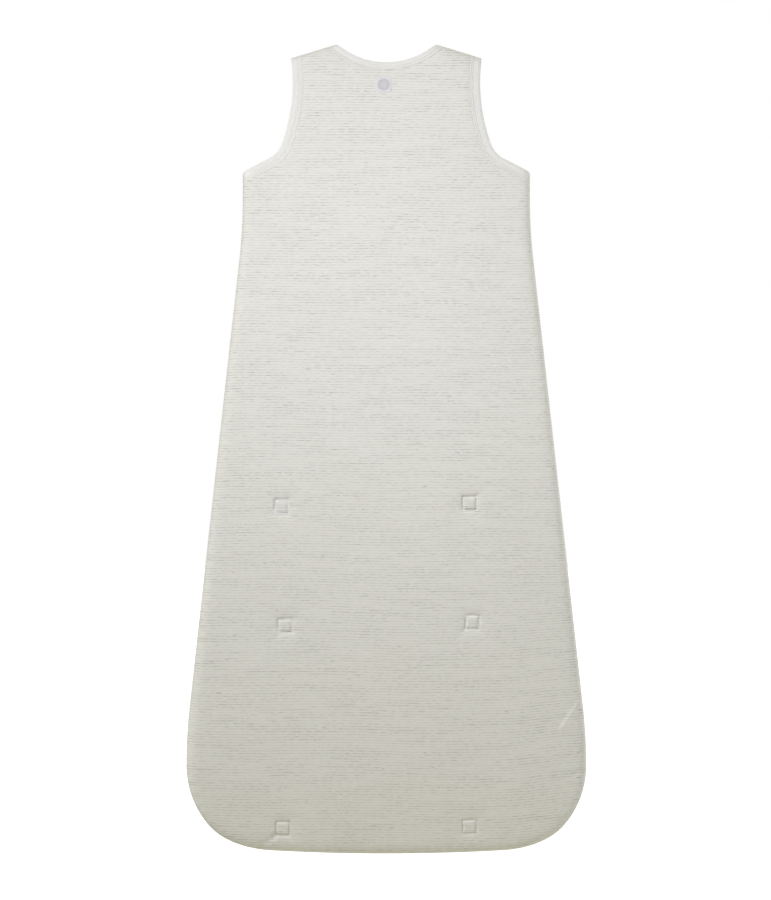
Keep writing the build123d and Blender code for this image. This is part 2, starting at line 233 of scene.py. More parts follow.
def depths(p, face):
    """The outer and inner depth of a panel at points (x, z)."""
    q = np.stack([abs(p[:, 0]), p[:, 1]], 1)
    x, z = q[:, 0], q[:, 1]
    side, along = distance_to(q, COARSE["side"])
    shoulder, _ = distance_to(q, COARSE["shoulder"])
    side = np.maximum(side - SEAM_LIP, 0)
    shoulder = np.maximum(shoulder - SEAM_LIP, 0)
    free = smooth(np.minimum(side, shoulder) / 8)
    arm_edge, _ = distance_to(q, COARSE["arm"])
    neck_edge, _ = distance_to(q, spaced(NECK[face], 5))
    bound = np.maximum(near(arm_edge, ARM_PRESS), near(neck_edge, NECK_PRESS))
    flat = TOP_DEPTH - z * (HEM_DEPTH - TOP_DEPTH) / LENGTH
    low = smooth((-z - 200) / 650)
    slim = 1 - EDGE_SLIM * (1 - np.clip(side / EDGE_REACH, 0, 1)) ** 2
    side_round = SIDE_ROUND[0] + (SIDE_ROUND[1] - SIDE_ROUND[0]) * low
    full = pillow(side, side_round) * slim * pillow(shoulder, SHOULDER_ROUND)
    tight = 1 - 0.55 * bound
    if face == "front":
        zip_edge = np.maximum(x - PANEL_EDGE, 0) + np.maximum(-z - SLOT_END, 0)
        zipped = near(zip_edge, ZIP_PRESS)
        tight *= 1 - 0.5 * zipped
        seam = near(x, SEAM_PRESS) * smooth((-z - SLOT_END) / 12)
        tight *= 1 - 0.6 * seam
    sewn = 0.06 + 0.94 * pillow(side, 20) * pillow(shoulder, 17)
    pucker = np.sin(along * 2 * pi / PUCKER_PITCH + 1.9 * np.sin(along / 31)) * near(abs(side - 5), 8) * free
    half = PAD * tight * sewn * (1 + 0.05 * pucker)
    half *= 1 - TACK_DEPTH * tack_pull(p)
    shift = 0.0 if face == "back" else 2.1
    wave = np.sin(p[:, 0] / 63 + 0.7 + shift) * np.sin(z / 104 + 1.3 + shift)
    wave = wave + 0.55 * np.sin(p[:, 0] / 31 - z / 57 + shift) * np.sin(z / 71 - shift)
    wave = wave + 0.3 * np.sin(p[:, 0] / 17 + z / 29 + 2 * np.sin(z / 80))
    calm = 1 - bound
    if face == "front":
        calm *= 1 - near(zip_edge, 34)
    middle = (flat - PAD) * full + WAVE * wave * full * calm + 0.25 * pucker
    if face == "front":
        middle += (PAD - half) * zipped * full - 2.0 * seam * full
    if face == "back":
        for start, end, deep, *widths in CREASES:
            run, along, aside = beside(p, start, end)
            past = np.maximum(np.maximum(-along, along - run), 0) / 3
            off = aside / np.where(aside < 0, *widths)
            middle -= deep * np.exp(-(off**2 + past**2)) * full
    least = half + 0.02 + (0.1 + 1.3 * near(np.minimum(arm_edge, neck_edge), 14)) * free
    middle = 0.5 * (middle + least + np.sqrt((middle - least) ** 2 + 0.3 * free))
    return middle + half, middle - half


def layer_depths(p, face, layer):
    """The two depths of one layer of a panel, outer one first."""
    outer, inner = depths(p, face)
    skin = np.minimum(1.0, 0.24 * (outer - inner))
    return {
        "jersey": (outer, outer - skin),
        "padding": (outer - skin - 0.03, inner + skin + 0.03),
        "inside": (inner + skin, inner),
    }[layer]


def cloth_place(p):
    """Where each point was on the flat cloth, in metres, so the pattern bends a little round the tacks."""
    moved = p.copy()
    for x, s, *_ in TACKS:
        away = p - (x, -s)
        far = np.linalg.norm(away, axis=1)
        moved += away * (0.10 * np.exp(-((far / 17) ** 2)))[:, None]
    moved[:, 1] += 0.8 * np.sin(p[:, 0] / 70 + 0.4) + 0.5 * np.sin(p[:, 0] / 33 + p[:, 1] / 120)
    moved[:, 1] -= 5.0 * smooth((p[:, 0] - 130) / 85) * smooth((-p[:, 1] - 560) / 130)
    return moved * MM


# Flat shapes of the panels
TACK_MESH = (0.0, 1.8, 3.6, 5.0, 6.0, 6.7, 7.2, 7.6, 8.0, 8.5, 9.2, 10.2, 11.6)  # lines of points either side


def panel_outline(face, step):
    """The closed outline of the back, or of the front's +X half."""
    if face == "front":
        neck = NECK["front"][NECK["front"][:, 0] > PANEL_EDGE]
        top_z = np.interp(PANEL_EDGE, *NECK["front"].T)
        neck = np.vstack([(PANEL_EDGE, top_z), neck])
    else:
        neck = NECK["back"]
    side = SIDE if face == "back" else np.vstack([SIDE[:-1], (SEAM_X, SIDE[-1][1])])
    runs = [neck, SHOULDER, ARM, side]
    if face == "front":
        slot = [(PANEL_EDGE, -SLOT_END), (SEAM_X, -SLOT_END - 4)]
        runs += [
            np.array([side[-1], slot[1]]),
            np.array([slot[1], slot[0]]),
            np.array([slot[0], (PANEL_EDGE, top_z)]),
        ]
    edge = np.vstack([spaced(run, step)[:-1] for run in runs])
    if face == "back":
        edge = np.vstack([edge, SIDE[-1:]])
        left = edge[1:-1][::-1] * (-1, 1)
        edge = np.vstack([edge, left])
    return edge[::-1]


def inside(points, edge):
    """Whether each point lies in a closed outline."""
    found = np.zeros(len(points), bool)
    x, z = points[:, 0], points[:, 1]
    for (x0, z0), (x1, z1) in zip(edge, np.roll(edge, -1, 0)):
        if z0 == z1:
            continue
        crosses = (z0 > z) != (z1 > z)
        found ^= crosses & (x < (x1 - x0) * (z - z0) / (z1 - z0) + x0)
    return found


def aligned(points, start, end, columns, step, edge, margin):
    """Replaces the points near a line with a grid that lies along it, so that the cloth bends evenly."""
    run, along, aside = beside(points, start, end)
    spare = columns[2]
    beyond = (along < -step - spare) | (along > run + step + spare)
    clear = (aside < columns[0] - spare) | (aside > columns[1] + spare)
    ahead = (np.array(end) - start) / run
    right = np.array((ahead[1], -ahead[0]))
    rows = np.arange(-step, run + step, step)
    grid = np.array([start + t * ahead + w * right for t in rows for w in np.arange(*columns)])
    grid = grid[inside(grid, edge)]
    grid = grid[distance_to(grid, np.vstack([edge, edge[:1]]))[0] > margin]
    return np.vstack([points[beyond | clear], grid])


def triangulate(edge, spacing, rings, tacks, lines):
    """Points and triangles that fill an outline.

    There are rings of points along its edge, a fine grid round each tack and one along each line.
    """
    closed = np.vstack([edge, edge[:1]])
    ahead = np.roll(edge, -1, 0) - np.roll(edge, 1, 0)
    ahead /= np.linalg.norm(ahead, axis=1)[:, None]
    inward = np.stack([-ahead[:, 1], ahead[:, 0]], 1)
    points = [edge]
    for ring in rings:
        found = edge + inward * ring
        found = found[inside(found, edge)]
        points.append(found[distance_to(found, closed)[0] > 0.93 * ring])
    low, high = edge.min(0), edge.max(0)
    rows = np.arange(low[1], high[1], spacing * 0.866)
    columns = np.arange(low[0], high[0], spacing)
    grid = np.array([(x + spacing / 2 * (j % 2), z) for j, z in enumerate(rows) for x in columns])
    grid = grid[inside(grid, edge)]
    grid = grid[distance_to(grid, closed)[0] > max(rings) + 0.55 * spacing]
    for start, end, across, step in lines:
        grid = aligned(grid, start, end, across, step, edge, max(rings) + 1.5)
    for x, s, tilt, _ in tacks:
        grid = grid[np.hypot(grid[:, 0] - x, grid[:, 1] + s) > TACK_MESH[-1] * 1.25]
        steps = [-t for t in TACK_MESH[:0:-1]] + list(TACK_MESH)
        local = np.array([(u, v) for v in steps for u in steps])
        points.append(local @ tack_axes(tilt) + (x, -s))
    points = np.vstack(points + [grid])
    made = delaunay_2d_cdt([Vector(p) for p in points], [], [list(range(len(edge)))], 1, 1e-4, False)
    points, triangles = np.array([tuple(v) for v in made[0]]), np.array([tuple(f) for f in made[2]])
    return points, triangles[inside(points[triangles].mean(1), edge)]


# Mesh and object helpers
def make_object(name, points, faces, material, smooth_angle, cloth=None):
    """A mesh object from points in millimetres, where cloth is each point's place on the flat cloth."""
    mesh = bpy.data.meshes.new(name)
    mesh.from_pydata((np.asarray(points, float) * MM).tolist(), [], [list(map(int, f)) for f in faces])
    mesh.update()
    if cloth is not None:
        attribute = mesh.attributes.new("cloth", "FLOAT_VECTOR", "POINT")
        attribute.data.foreach_set("vector", np.asarray(cloth, np.float32).ravel())
    mesh.materials.append(material)
    mesh.polygons.foreach_set("use_smooth", np.ones(len(mesh.polygons), bool))
    mesh.set_sharp_from_angle(angle=radians(smooth_angle))
    thing = bpy.data.objects.new(name, mesh)
    bpy.context.scene.collection.objects.link(thing)
    return thing


def cloth_vectors(p):
    flat = cloth_place(p)
    return np.concatenate([flat, np.zeros((len(flat), 1))], 1)


def shell(name, flat, triangles, face, layer, material, mirrored=False):
    """One layer of a panel as a closed mesh."""
    p = flat * (-1, 1) if mirrored else flat
    tris = triangles[:, ::-1] if mirrored else triangles
    outer, inner = layer_depths(p, face, layer)
    sign = -1 if face == "back" else 1
    top = np.stack([p[:, 0], sign * outer, p[:, 1]], 1)
    under = np.stack([p[:, 0], sign * inner, p[:, 1]], 1)
    if sign > 0:
        tris = tris[:, ::-1]
    n = len(p)
    sides = np.concatenate([tris[:, [0, 1]], tris[:, [1, 2]], tris[:, [2, 0]]])
    keys = np.sort(sides, 1)
    _, first, uses = np.unique(keys, axis=0, return_index=True, return_counts=True)
    rim = sides[first[uses == 1]]
    walls = [(b, a, a + n, b + n) for a, b in rim]
    faces = tris.tolist() + (tris[:, ::-1] + n).tolist() + walls
    place = cloth_vectors(p)
    return make_object(name, np.vstack([top, under]), faces, material, 50, np.vstack([place, place]))


def tube(rings):
    """Faces round and along rings of points, with both ends closed."""
    count, around = len(rings), len(rings[0])
    faces = []
    for i in range(count - 1):
        for j in range(around):
            k = (j + 1) % around
            faces.append((i * around + j, i * around + k, (i + 1) * around + k, (i + 1) * around + j))
    faces.append(tuple(range(around))[::-1])
    faces.append(tuple((count - 1) * around + j for j in range(around)))
    return np.vstack(rings), faces


class Pile:
    """Collects many small closed parts into one mesh."""

    def __init__(self):
        self.points, self.faces, self.count = [], [], 0

    def add(self, points, faces):
        self.points.append(np.asarray(points, float))
        self.faces += [tuple(i + self.count for i in f) for f in faces]
        self.count += len(points)

    def make(self, name, material):
        return make_object(name, np.vstack(self.points), self.faces, material, 60)


THREAD_SIDES = 6
THREAD_SHAPE = (  # how far along, how thick and how far down
    (-0.5, 0.35, 0.9),
    (-0.36, 0.85, 0.35),
    (-0.12, 1, 0),
    (0.12, 1, 0),
    (0.36, 0.85, 0.35),
    (0.5, 0.35, 0.9),
)


def thread(pile, centre, ahead, up, length, radius):
    """One stitch: a short rounded thread lying on the cloth."""
    ahead = np.array(ahead) / np.linalg.norm(ahead)
    up = np.array(up) - np.dot(up, ahead) * ahead
    up /= np.linalg.norm(up)
    across = np.cross(ahead, up)
    rings = []
    turns = [2 * pi * k / THREAD_SIDES for k in range(THREAD_SIDES)]
    for share, fat, drop in THREAD_SHAPE:
        middle = np.array(centre) + ahead * share * length - up * drop * radius
        rings.append([middle + radius * fat * (across * cos(t) + up * sin(t)) for t in turns])
    pile.add(*tube([np.array(r) for r in rings]))


def on_panel(p, face, lift):
    """Points in space that lie proud of a panel's outer surface."""
    outer, _ = depths(p, face)
    return np.stack([p[:, 0], (outer + lift) * (-1 if face == "back" else 1), p[:, 1]], 1)


def sew(pile, line, face, lift, pitch, length, radius):
    """A row of stitches along a line of (x, z) on a panel."""
    run = lengths(line)[-1]
    where = np.arange(pitch / 2, run, pitch)
    middle = on_panel(at(line, where), face, lift)
    before = on_panel(at(line, where - pitch / 3), face, lift)
    after = on_panel(at(line, where + pitch / 3), face, lift)
    out = (0, -1 if face == "back" else 1, 0)
    for c, a, b in zip(middle, before, after):
        thread(pile, c, b - a, out, length, radius)


# Materials
def feed(tree, socket, value):
    """Links a socket to another node's, or gives it a fixed value."""
    if isinstance(value, bpy.types.NodeSocket):
        tree.links.new(value, socket)
    else:
        socket.default_value = value


def node(tree, kind, inputs=None, **settings):
    made = tree.nodes.new(kind)
    for key, value in settings.items():
        setattr(made, key, value)
    for key, value in (inputs or {}).items():
        feed(tree, made.inputs[key], value)
    return made


def math_node(tree, operation, a, b=0.0, c=0.0):
    return node(tree, "ShaderNodeMath", {0: a, 1: b, 2: c}, operation=operation).outputs[0]


def spread(tree, value, low, high, to_low=0.0, to_high=1.0):
    inputs = {"Value": value, "From Min": low, "From Max": high, "To Min": to_low, "To Max": to_high}
    return node(tree, "ShaderNodeMapRange", inputs, clamp=True).outputs[0]


def mix(tree, share, a, b):
    made = node(tree, "ShaderNodeMix", data_type="RGBA")
    for key, kind, value in (("Factor", "VALUE", share), ("A", "RGBA", a), ("B", "RGBA", b)):
        feed(tree, [s for s in made.inputs if s.name == key and s.type == kind][0], value)
    return [s for s in made.outputs if s.type == "RGBA"][0]


def noise(tree, vector, scale, detail=2.0, roughness=0.5):
    inputs = {"Vector": vector, "Scale": scale, "Detail": detail, "Roughness": roughness}
    return node(tree, "ShaderNodeTexNoise", inputs).outputs["Fac"]


def stretched(tree, vector, scale):
    inputs = {0: vector, 1: scale}
    return node(tree, "ShaderNodeVectorMath", inputs, operation="MULTIPLY").outputs[0]


def linear(red, green, blue):
    """A colour given as it shows on screen, 0 to 255."""
    parts = [c / 255 for c in (red, green, blue)]
    parts = [c / 12.92 if c <= 0.04045 else ((c + 0.055) / 1.055) ** 2.4 for c in parts]
    return (*parts, 1.0)


def shaded(colour, share):
    """A colour darkened to a share of itself."""
    return (*(c * share for c in colour[:3]), 1)


def new_material(name, roughness, sheen=0.0, specular=0.2):
    material = bpy.data.materials.new(name)
    material.use_nodes = True
    tree = material.node_tree
    tree.nodes.clear()
    shader = node(tree, "ShaderNodeBsdfPrincipled")
    for key, value in (
        ("Roughness", roughness),
        ("Sheen Weight", sheen),
        ("Sheen Roughness", 0.5),
        ("Specular IOR Level", specular),
    ):
        shader.inputs[key].default_value = value
    node(tree, "ShaderNodeOutputMaterial", {"Surface": shader.outputs[0]})
    return material, tree, shader


def bump(tree, shader, height, distance, strength):
    inputs = {"Height": height, "Distance": distance, "Strength": strength}
    tree.links.new(node(tree, "ShaderNodeBump", inputs).outputs[0], shader.inputs["Normal"])


def paint(tree, shader, share, a, b):
    """Mixes two colours on a shader's surface."""
    tree.links.new(mix(tree, share, a, b), shader.inputs["Base Color"])


def cloth_vector(tree):
    return node(tree, "ShaderNodeAttribute", attribute_name="cloth").outputs["Vector"]


def object_vector(tree):
    return node(tree, "ShaderNodeTexCoord").outputs["Object"]


def ridges(tree, vector, axis, pitch, wobble=0.0):
    """A wave from -1 to 1 across ridges that lie pitch apart along an axis."""
    parts = node(tree, "ShaderNodeSeparateXYZ", {0: vector})
    phase = math_node(tree, "MULTIPLY", parts.outputs[axis], 2 * pi / pitch)
    if wobble:
        wander = noise(tree, stretched(tree, vector, (40, 40, 40)), 1.0, 1)
        phase = math_node(tree, "MULTIPLY_ADD", wander, wobble, phase)
    return math_node(tree, "SINE", phase)


def striped_jersey(name, cream, grey, pitch):
    """Fine marled jersey: thin broken grey rows of uneven strength on cream."""
    material, tree, shader = new_material(name, roughness=0.92, sheen=0.12)
    vector = cloth_vector(tree)
    rows = ridges(tree, vector, "Y", pitch, wobble=2.6)
    line = spread(tree, rows, 0.0, 0.95)
    fleck = spread(tree, noise(tree, stretched(tree, vector, (165, 650, 1)), 1.0, 2, 0.6), 0.38, 0.64)
    patchy = spread(tree, noise(tree, stretched(tree, vector, (16, 110, 1)), 1.0, 2), 0.36, 0.64, 0.35, 1.0)
    dark = math_node(tree, "MULTIPLY", line, math_node(tree, "MULTIPLY_ADD", fleck, 0.84, 0.16))
    dark = math_node(tree, "MULTIPLY", dark, patchy)
    slub = noise(tree, stretched(tree, vector, (110, 760, 1)), 1.0, 1)
    dark = math_node(tree, "MAXIMUM", dark, spread(tree, slub, 0.68, 0.77, 0.0, 0.95))
    mottle = noise(tree, vector, 900, 2)
    base = mix(tree, spread(tree, mottle, 0.3, 0.7), cream, shaded(cream, 0.955))
    paint(tree, shader, dark, base, grey)
    wales = ridges(tree, vector, "X", 0.0011)
    height = math_node(tree, "MULTIPLY_ADD", line, -0.45, math_node(tree, "MULTIPLY", wales, 0.12))
    height = math_node(tree, "MULTIPLY_ADD", mottle, 0.5, height)
    bump(tree, shader, height, 0.00035, 0.6)
    return material


def plain_cloth(name, colour, vector_of, pitch, roughness=0.92, sheen=0.1, depth=0.0002, axes=("X", "Z")):
    """Fine plain knit or twill with soft mottling."""
    material, tree, shader = new_material(name, roughness, sheen)
    vector = vector_of(tree)
    mottle = noise(tree, vector, 700, 3)
    paint(tree, shader, spread(tree, mottle, 0.3, 0.7), colour, shaded(colour, 0.93))
    one = ridges(tree, vector, axes[0], pitch)
    two = ridges(tree, vector, axes[1], pitch)
    height = math_node(tree, "MULTIPLY_ADD", one, 0.5, math_node(tree, "MULTIPLY", two, 0.5))
    height = math_node(tree, "MULTIPLY_ADD", mottle, 0.8, height)
    bump(tree, shader, height, depth, 0.8)
    return material


def fluff(name, colour):
    """Loose fibre wadding."""
    material, tree, shader = new_material(name, roughness=1.0, sheen=0.3, specular=0.1)
    vector = object_vector(tree)
    clouds = noise(tree, vector, 120, 5, 0.65)
    paint(tree, shader, spread(tree, clouds, 0.3, 0.7), colour, shaded(colour, 0.85))
    bump(tree, shader, clouds, 0.002, 0.8)
    return material


def enamel(name, colour):
    """Painted metal, with faint wear and dimpling."""
    material, tree, shader = new_material(name, roughness=0.35, specular=0.5)
    vector = object_vector(tree)
    grain = noise(tree, vector, 400, 3)
    paint(tree, shader, spread(tree, grain, 0.35, 0.7), colour, shaded(colour, 0.88))
    tree.links.new(spread(tree, grain, 0.3, 0.7, 0.28, 0.45), shader.inputs["Roughness"])
    bump(tree, shader, grain, 0.0001, 0.3)
    return material


def spotted_label(name, ground, spot):
    """A woven label with a plain soft disc in the middle."""
    material, tree, shader = new_material(name, roughness=0.7, sheen=0.1, specular=0.25)
    vector = cloth_vector(tree)
    far = node(tree, "ShaderNodeVectorMath", {0: vector}, operation="LENGTH").outputs["Value"]
    disc = spread(tree, far, 0.0061, 0.0071, 1.0, 0.0)
    ring = spread(tree, far, 0.0030, 0.0050, 0.65, 1.0)
    weave = noise(tree, stretched(tree, vector, (900, 1400, 1)), 1.0, 2)
    woven = math_node(tree, "MULTIPLY", ring, spread(tree, weave, 0.3, 0.7, 0.55, 1.0))
    paint(tree, shader, math_node(tree, "MULTIPLY", disc, woven), ground, spot)
    picks = ridges(tree, vector, "Y", 0.0008)
    bump(tree, shader, math_node(tree, "MULTIPLY_ADD", weave, 0.8, picks), 0.00015, 0.8)
    return material


STRIPE_PITCH = 0.003
WHITE = linear(240, 240, 240)
JERSEY = striped_jersey("striped_jersey", linear(240, 240, 234), linear(188, 188, 182), STRIPE_PITCH)
LINING = plain_cloth("lining_knit", linear(240, 238, 232), cloth_vector, 0.0014, axes=("X", "Y"))
WADDING = fluff("polyester_wadding", linear(243, 243, 241))
BINDING = plain_cloth("binding_rib", linear(246, 246, 242), cloth_vector, 0.0012, axes=("X", "Y"))
TAPE = plain_cloth("zip_tape_twill", linear(236, 236, 231), cloth_vector, 0.0009, axes=("X", "Y"))
NYLON = plain_cloth("nylon_coil", linear(238, 238, 234), object_vector, 0.0007, 0.4, 0.0, 0.00005)
ENAMEL = enamel("enamelled_metal", linear(232, 231, 226))
THREAD = plain_cloth("sewing_thread", linear(240, 240, 235), object_vector, 0.0004, 0.7, 0.1, 0.0001)
LABEL = plain_cloth("woven_label", WHITE, cloth_vector, 0.0008, 0.7, 0.1, 0.00015, axes=("X", "Y"))
PATCH = spotted_label("woven_patch", linear(244, 244, 245), linear(208, 209, 219))


# Panels
MESHING = {  # each layer's spacing of points along its edge and inside it, and its rings' distances inward
    "jersey": (3.0, 3.9, (0.7, 1.9, 3.6, 6.0)),
    "inside": (5.0, 6.0, (1.5, 4.0)),
    "padding": (7.0, 9.0, (3.0,)),
}
FOLD_LINES = [((FOLD_START[0], -FOLD_START[1]), (FOLD_END[0], -FOLD_END[1]), FOLD_GRID, 4.0)]
CREASE_LINES = [(start, end, CREASE_GRID, 2.0) for start, end, *_ in CREASES]
RIGHT_TACKS = [tack for tack in TACKS if tack[0] > 0]
LEFT_TACKS = [(-x, s, -tilt, strength) for x, s, tilt, strength in TACKS if x < 0]


def panel_shape(face, layer, tacks=()):
    """The flat points and triangles of one layer of the back, or of the front's +X half."""
    step, spacing, rings = MESHING[layer]
    lines = FOLD_LINES if face == "front" else ()
    if (face, layer) == ("back", "jersey"):
        lines = CREASE_LINES
    return triangulate(panel_outline(face, step), spacing, rings, tacks, lines)


SHAPES = {}
for layer in ("inside", "padding"):
    SHAPES["back", layer] = panel_shape("back", layer)
    SHAPES["right", layer] = SHAPES["left", layer] = panel_shape("front", layer)
SHAPES["back", "jersey"] = panel_shape("back", "jersey", TACKS)
SHAPES["right", "jersey"] = panel_shape("front", "jersey", RIGHT_TACKS)
SHAPES["left", "jersey"] = panel_shape("front", "jersey", LEFT_TACKS)

SIDES = (("right", 1), ("left", -1))
LAYERS = (  # a layer's name, its CAD nodes' ending, its slot and its material
    ("jersey", "outer", "jersey", JERSEY),
    ("padding", "wadding", "wadding", WADDING),
    ("inside", "lining", "lining", LINING),
)


def front_point(x, s, z=0.0):
    """A point of the front face, x across, s down and z out, in metres in the row frame."""
    return Vector((x, TOP_DEPTH + s * sin(SLANT) + z * cos(SLANT), -s * cos(SLANT) + z * sin(SLANT))) * MM


def fold(piece):
    """Bakes the placement of a piece beside the zip into its mesh; nothing folds it out with a flap."""
    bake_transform(piece)


LAYER_PIECES = {}
for layer, cad_layer, slot, material in LAYERS:
    flat, triangles = SHAPES["back", layer]
    piece = shell(f"back_{layer}", flat, triangles, "back", layer, material)
    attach(piece, "bag")
    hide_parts(f"back_{cad_layer}")
    LAYER_PIECES["back", layer] = piece
    for name, side in SIDES:
        flat, triangles = SHAPES[name, layer]
        piece = shell(f"{name}_front_{layer}", flat, triangles, "front", layer, material, side < 0)
        fold(piece)
        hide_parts(f"{name}_front_{cad_layer}", f"{name}_flap_{cad_layer}")
        LAYER_PIECES[name, layer] = piece


# Bindings: a folded strip round a raw edge, pressed down by two rows of stitches
BAND_CROWN = (  # how far across, and how proud
    (1.0, 0.05),
    (0.98, 0.36),
    (0.93, 0.5),
    (0.88, 0.42),
    (0.85, 0.3),
    (0.82, 0.44),
    (0.75, 0.6),
    (0.67, 0.46),
    (0.64, 0.32),
    (0.61, 0.48),
    (0.52, 0.85),
    (0.4, 1.1),
    (0.2, 1.2),
    (0.06, 1.05),
)
BAND_STITCHES = (0.64, 0.85)
BAND_ROLL = 0.9  # how far the fold stands out from the raw edge
BAND_CROWD = 13.0  # how near its ends a binding turns to lie along the seams there


def across_band(line, ends, width):
    """The way across a binding at each point of its edge, where ends are the ways along its end seams."""
    ahead = np.gradient(line, axis=0)
    ahead /= np.linalg.norm(ahead, axis=1)[:, None]
    inward = np.stack([ahead[:, 1], -ahead[:, 0]], 1) * width
    if np.dot(inward[len(line) // 2], ends[0]) < 0:
        inward = -inward
    run = lengths(line)
    for end, far in ((ends[0], run), (ends[1], run[-1] - run)):
        share = near(far, BAND_CROWD)[:, None]
        inward = inward * (1 - share) + np.array(end) * share
    return inward


def band_rings(line, ends, width, face, side):
    """Cross-sections of a binding along an edge, and where they were on the flat cloth."""
    run = lengths(line)
    inward = across_band(line, ends, width)
    mid_outer, mid_inner = depths(line * (side, 1), face)
    middle, half = (mid_outer + mid_inner) / 2, (mid_outer - mid_inner) / 2
    section = []
    thin = 1 - 0.6 * near(np.minimum(run, run[-1] - run), 9)
    for share, lift in BAND_CROWN:
        p = line + inward * share
        outer, _ = depths(p * (side, 1), face)
        section.append((p, outer + lift * thin))
    unit = inward / np.linalg.norm(inward, axis=1)[:, None]
    for turn in (60, 30, 0, -30, -60):
        p = line - unit * BAND_ROLL * cos(radians(turn))
        section.append((p, middle + (half + 0.95 * thin) * sin(radians(turn))))
    for share, lift in BAND_CROWN[::-1]:
        p = line + inward * share
        _, inner = depths(p * (side, 1), face)
        section.append((p, inner - lift * thin))
    for share in (0.99, 0.5, 0.03):
        p = line + inward * share
        _, inner = depths(p * (side, 1), face)
        section.append((p, inner + 0.15))
    for share in (0.03, 0.5, 0.99):
        p = line + inward * share
        outer, _ = depths(p * (side, 1), face)
        section.append((p, outer - 0.15))
    sign = -1 if face == "back" else 1
    rings = []
    for i in range(len(line)):
        rings.append(np.array([(p[i, 0] * side, sign * d[i], p[i, 1]) for p, d in section]))
    along = np.repeat(run[:, None], len(section), 1)
    across = np.tile(np.linspace(0, 2 * width, len(section)), (len(line), 1))
    cloth = np.stack([along, across, np.zeros_like(along)], 2).reshape(-1, 3) * MM
    return rings, cloth


def band(name, parts, width, side):
    """A binding made of one or more edges, as (line, ends, face)."""
    points, faces, cloth, count = [], [], [], 0
    for line, ends, face in parts:
        rings, place = band_rings(line, ends, width, face, side)
        made, made_faces = tube(rings)
        points.append(made)
        cloth.append(place)
        faces += [tuple(i + count for i in f) for f in made_faces]
        count += len(made)
    return make_object(name, np.vstack(points), faces, BINDING, 60, np.vstack(cloth))


shoulder_way = (SHOULDER[1] - SHOULDER[0]) / np.linalg.norm(SHOULDER[1] - SHOULDER[0])
arm_line = spaced(ARM, 2.5)
arm_ends = (-shoulder_way * ARM_BAND * 1.03, (0, -ARM_BAND * 1.12))
back_neck = spaced(NECK["back"], 2.5)
back_neck = np.vstack([back_neck[1:][::-1] * (-1, 1), back_neck])
back_ends = [shoulder_way * (way, 1) * NECK_BAND * 1.18 for way in (-1, 1)]
front_neck = spaced(NECK["front"], 2.5)
front_start = (ZIP_GAP, np.interp(ZIP_GAP, *NECK["front"].T))
front_neck = np.vstack([front_start, front_neck[front_neck[:, 0] > ZIP_GAP + 0.7]])
front_ends = ((0, -NECK_BAND), shoulder_way * NECK_BAND * 1.08)


for name, side in SIDES:
    arm_parts = [(arm_line, arm_ends, face) for face in ("back", "front")]
    piece = band(f"{name}_arm_band", arm_parts, ARM_BAND, side)
    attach(piece, "bag")
    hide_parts(f"{name}_armhole_binding")
    piece = band(f"{name}_neck_band", [(front_neck, front_ends, "front")], NECK_BAND, side)
    fold(piece)
    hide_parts(f"{name}_flap_neck_binding")
piece = band("back_neck_band", [(back_neck, back_ends, "back")], NECK_BAND, 1)
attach(piece, "bag")
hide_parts("neck_binding")


# Stitching
def inset_line(line, ends, width, share):
    """The line that runs share of the way across a binding."""
    return line + across_band(line, ends, width) * share


STITCH = {"pitch": 2.7, "length": 2.3, "radius": 0.24}
TACK_STITCH = {"pitch": 2.88, "length": 2.6, "radius": 0.33}
STITCH_LIFT = {"band": 0.38, "zip": 0.1, "tack": 0.12}  # of a thread's middle above the panel
ZIP_STITCH_X = PANEL_EDGE + 2.2
for name, side in SIDES:
    pile = Pile()
    for face in ("back", "front"):
        for share in BAND_STITCHES:
            line = inset_line(arm_line, arm_ends, ARM_BAND, share) * (side, 1)
            sew(pile, line, face, STITCH_LIFT["band"], **STITCH)
    piece = pile.make(f"{name}_arm_stitches", THREAD)
    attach(piece, "bag")
    pile = Pile()
    line = inset_line(front_neck, front_ends, NECK_BAND, BAND_STITCHES[1]) * (side, 1)
    sew(pile, line, "front", STITCH_LIFT["band"], **STITCH)
    line = np.array([(side * ZIP_STITCH_X, -67.0), (side * ZIP_STITCH_X, -SLOT_END - 1)])
    sew(pile, line, "front", STITCH_LIFT["zip"], **STITCH)
    piece = pile.make(f"{name}_front_stitches", THREAD)
    fold(piece)
pile = Pile()
line = inset_line(back_neck, back_ends, NECK_BAND, BAND_STITCHES[1])
sew(pile, line, "back", STITCH_LIFT["band"], **STITCH)
piece = pile.make("back_neck_stitches", THREAD)
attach(piece, "bag")

for face in ("back", "front"):
    pile = Pile()
    for x, s, tilt, _ in TACKS:
        square = np.array([(-1, -1), (1, -1), (1, 1), (-1, 1), (-1, -1)]) * TACK_HALF
        corners = square @ tack_axes(tilt) + (x, -s)
        for k in range(4):
            sew(pile, corners[k : k + 2], face, STITCH_LIFT["tack"], **TACK_STITCH)
    piece = pile.make(f"{face}_tack_stitches", THREAD)
    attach(piece, "bag")
    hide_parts(f"{face}_tacks")


